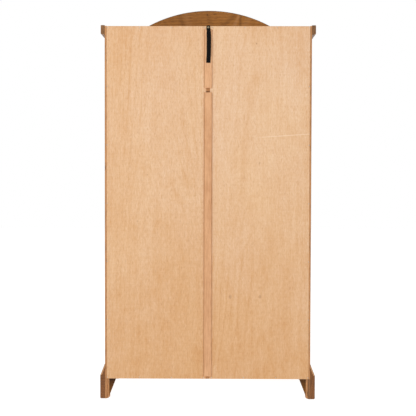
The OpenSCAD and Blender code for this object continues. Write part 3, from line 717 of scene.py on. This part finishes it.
def add_strap():
    """The webbing strap: five ribs, a bow to one side, and a step over the batten's end; in millimetres."""
    low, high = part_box("tip_strap")
    top, bottom = high.z / MM, low.z / MM
    thick, cad_thick = 1.3, 1.4
    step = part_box("back_batten_upper")[1].z / MM
    flat, proud = low.y / MM, high.y / MM - cad_thick
    bow_x = [(bottom, -0.5), (1010, -1.8), (1042, -2.1), (1068, -1.4), (top - 6, -0.3)]
    half_widths = [(bottom, 5.9), (1062, 6.2), (1075, 5.4), (top, 5.2)]
    stand_off = [(bottom, proud + 0.8), (1030, proud + 2.6), (step + 0.4, proud + 0.2), (step + 4, flat)]
    rings, across = 90, 40
    points = []
    for r in range(rings + 1):
        z = bottom + (top - bottom) * r / rings
        centre = between(bow_x, z)
        half_w = between(half_widths, z)
        if r == 0:
            half_w -= 0.3
        back = between(stand_off, z)
        for i in range(across + 1):
            u = 2 * i / across - 1
            rib = 0.26 * abs(math.sin(2.5 * math.pi * (u + 1))) ** 0.7 - 0.26
            edge = 0.5 * max(0.0, abs(u) - 0.9) / 0.1
            twist = 0.12 * math.sin(z * 0.21) * u
            points.append((centre + half_w * u, back + thick + rib - edge + twist, z))
        for i in range(across, -1, -1):
            u = 2 * i / across - 1
            edge = 0.35 * max(0.0, abs(u) - 0.9) / 0.1
            points.append((centre + half_w * u, back + edge, z))
    points = [Vector(p) * MM for p in points]
    faces = tube_faces(rings + 1, 2 * (across + 1))
    strap = make_mesh("strap_webbing", points, faces, webbing("webbing_black"))
    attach(strap, "case")
    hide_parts("tip_strap")


def roll_mesh(radius, length):
    """One stuffed roll along X, in millimetres: rounded ends with a stitched pinch, and a seam below."""
    rings, count = 120, 32
    round_l = 2.4
    points = []
    for r in range(rings + 1):
        x = -length / 2 + length * r / rings
        end = length / 2 - abs(x)
        tight = radius
        if end <= round_l:
            tight = radius * (0.80 + 0.20 * math.sqrt(1 - (1 - end / round_l) ** 2))
        pinch = 0.35 * math.exp(-((end - 5.5) / 0.9) ** 2)
        for i in range(count):
            a = math.tau * i / count
            seam = 0.5 * math.exp(-((a - 1.5 * math.pi) / 0.12) ** 2)
            reach = tight - pinch - seam
            points.append((x, reach * math.cos(a), reach * math.sin(a)))
    return points, tube_faces(rings + 1, count)


def puff(obj, limit):
    """Cloth under pressure, with its movement capped at the limit so that the seams stay."""
    last_frame = 20
    before = [v.co.copy() for v in obj.data.vertices]
    cloth = obj.modifiers.new("cloth", "CLOTH")
    cloth.settings.quality = 5
    cloth.settings.mass = 0.15
    cloth.settings.tension_stiffness = 12
    cloth.settings.bending_stiffness = 0.4
    cloth.settings.use_pressure = True
    cloth.settings.uniform_pressure_force = 4
    cloth.settings.effector_weights.gravity = 0
    cloth.point_cache.frame_start, cloth.point_cache.frame_end = 1, last_frame
    for number in range(1, last_frame + 1):
        scene.frame_set(number)
    graph = bpy.context.evaluated_depsgraph_get()
    puffed = obj.evaluated_get(graph).data
    moved = [puffed.vertices[i].co - c for i, c in enumerate(before)]
    obj.modifiers.remove(cloth)
    for vertex, start, move in zip(obj.data.vertices, before, moved):
        vertex.co = start + move * min(1.0, limit / max(move.length, 1e-9))
    scene.frame_set(1)


def add_rolls():
    """Seven velvet ring rolls in the tray: copies of one stuffed roll, each slid and dented by itself."""
    low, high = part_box("ring_rolls")
    rolls, most_puff = 7, 0.6
    radius = (high.z - low.z) / 2 / MM
    pitch = (high.y - low.y - 2 * radius * MM) / (rolls - 1)
    points, faces = roll_mesh(radius - most_puff, (high.x - low.x) / MM - 1.0)
    roll = make_mesh("roll", [Vector(p) * MM for p in points], faces, VELVET)
    puff(roll, most_puff * MM)
    place = random.Random(5)
    points, joined = [], []
    shape = [v.co.copy() for v in roll.data.vertices]
    bpy.data.objects.remove(roll)
    for number in range(rolls):
        middle = Vector((0, low.y + radius * MM + number * pitch, (low.z + high.z) / 2))
        phase, slide = place.uniform(0, 6), place.uniform(-0.4, 0.4) * MM
        start = len(points)
        for co in shape:
            x, y, z = co
            dent = 1 - 0.02 * (1 + math.sin(x * 70 + phase))
            dent -= 0.015 * (1 + math.sin(x * 173 + 2 * phase))
            points.append(middle + Vector((x + slide, y * dent, z * dent)))
        joined += [tuple(start + i for i in face) for face in faces]
    made = make_mesh("ring_rolls_velvet", points, joined, VELVET)
    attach(made, "case")
    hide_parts("ring_rolls")


def add_lining(level, cells):
    """A velvet lining glued to the drawer's floor, a little puffed inside each cell of the dividers."""
    low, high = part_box(f"{level}_drawer_lining")
    steps_x, steps_y = 140, 72
    under, over = 0.1 * MM, 2.2 * MM
    place = random.Random(level)
    phases = [place.uniform(0, 6) for _ in range(4)]
    points = []
    for upper_side in (True, False):
        for j in range(steps_y + 1):
            for i in range(steps_x + 1):
                u, v = i / steps_x, j / steps_y
                x, y = low.x + (high.x - low.x) * u, low.y + (high.y - low.y) * v
                rise = math.sin(math.pi * (u * cells[0] % 1)) * math.sin(math.pi * (v * cells[1] % 1))
                ripple = math.sin(x * 23 + y * 11 + phases[0]) + math.sin(y * 41 - x * 9 + phases[1])
                pile = 0.8 * abs(rise) ** 0.35 + 0.28 * ripple * abs(rise) ** 0.5
                height = low.z + over + pile * MM
                points.append((x, y, height if upper_side else low.z + under))
    width = steps_x + 1
    sheet = width * (steps_y + 1)
    faces = [
        (s + j * width + i, s + j * width + i + 1, s + (j + 1) * width + i + 1, s + (j + 1) * width + i)
        for s in (0, sheet)
        for j in range(steps_y)
        for i in range(steps_x)
    ]
    rim = list(range(width))
    rim += [j * width + steps_x for j in range(1, steps_y + 1)]
    rim += [steps_y * width + i for i in range(steps_x - 1, -1, -1)]
    rim += [j * width for j in range(steps_y - 1, 0, -1)]
    faces += [(a, b, b + sheet, a + sheet) for a, b in zip(rim, rim[1:] + rim[:1])]
    lining = make_mesh(f"{level}_lining_velvet", points, faces, VELVET)
    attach(lining, f"{level}_drawer")
    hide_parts(f"{level}_drawer_lining")


add_strap()
add_rolls()
add_lining("upper", (6, 2))
add_lining("lower", (1, 1))


# ---------------------------------------------------------------- scene

add_camera()
add_world()
add_floor()
add_area("key", (1.9, BACK_Y + 2.4, 2.0), (0, BACK_Y, 0.6), (0.9, 0.9), 37, (1.0, 0.98, 0.95))
add_area("fill", (-1.9, BACK_Y + 2.7, 1.3), (0, BACK_Y, 0.55), (2.2, 2.2), 17, (1.0, 0.99, 0.97))
add_area("front", (-1.5, -2.8, 2.3), (0, -0.1, 0.6), (1.4, 1.4), 50, (1.0, 0.98, 0.95))
